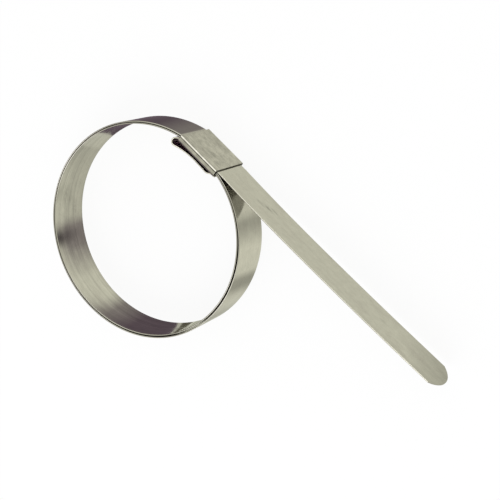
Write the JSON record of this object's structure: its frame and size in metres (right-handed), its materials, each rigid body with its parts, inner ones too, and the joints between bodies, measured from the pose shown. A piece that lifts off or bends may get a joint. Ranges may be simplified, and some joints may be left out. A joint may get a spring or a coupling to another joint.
{
  "type": "preformed band clamp",
  "caption": "Steel band clamp wound into a ring, with a flat folded buckle, a hooked inner end and a long round-ended tail for tightening it round a hose.",
  "frame": {"origin": "centre of the ring, half way across the band", "axes": "+Z along the ring's axis, +Y outward through the middle of the buckle, +X along the tail"},
  "size_m": [0.1425, 0.0743, 0.0186],
  "materials": {
    "band": "bright rolled strip with fine lengthwise streaks",
    "buckle": "satin folded sheet"
  },
  "bodies": {
    "root": {"band": "band", "buckle": "buckle"}
  },
  "joints": []
}
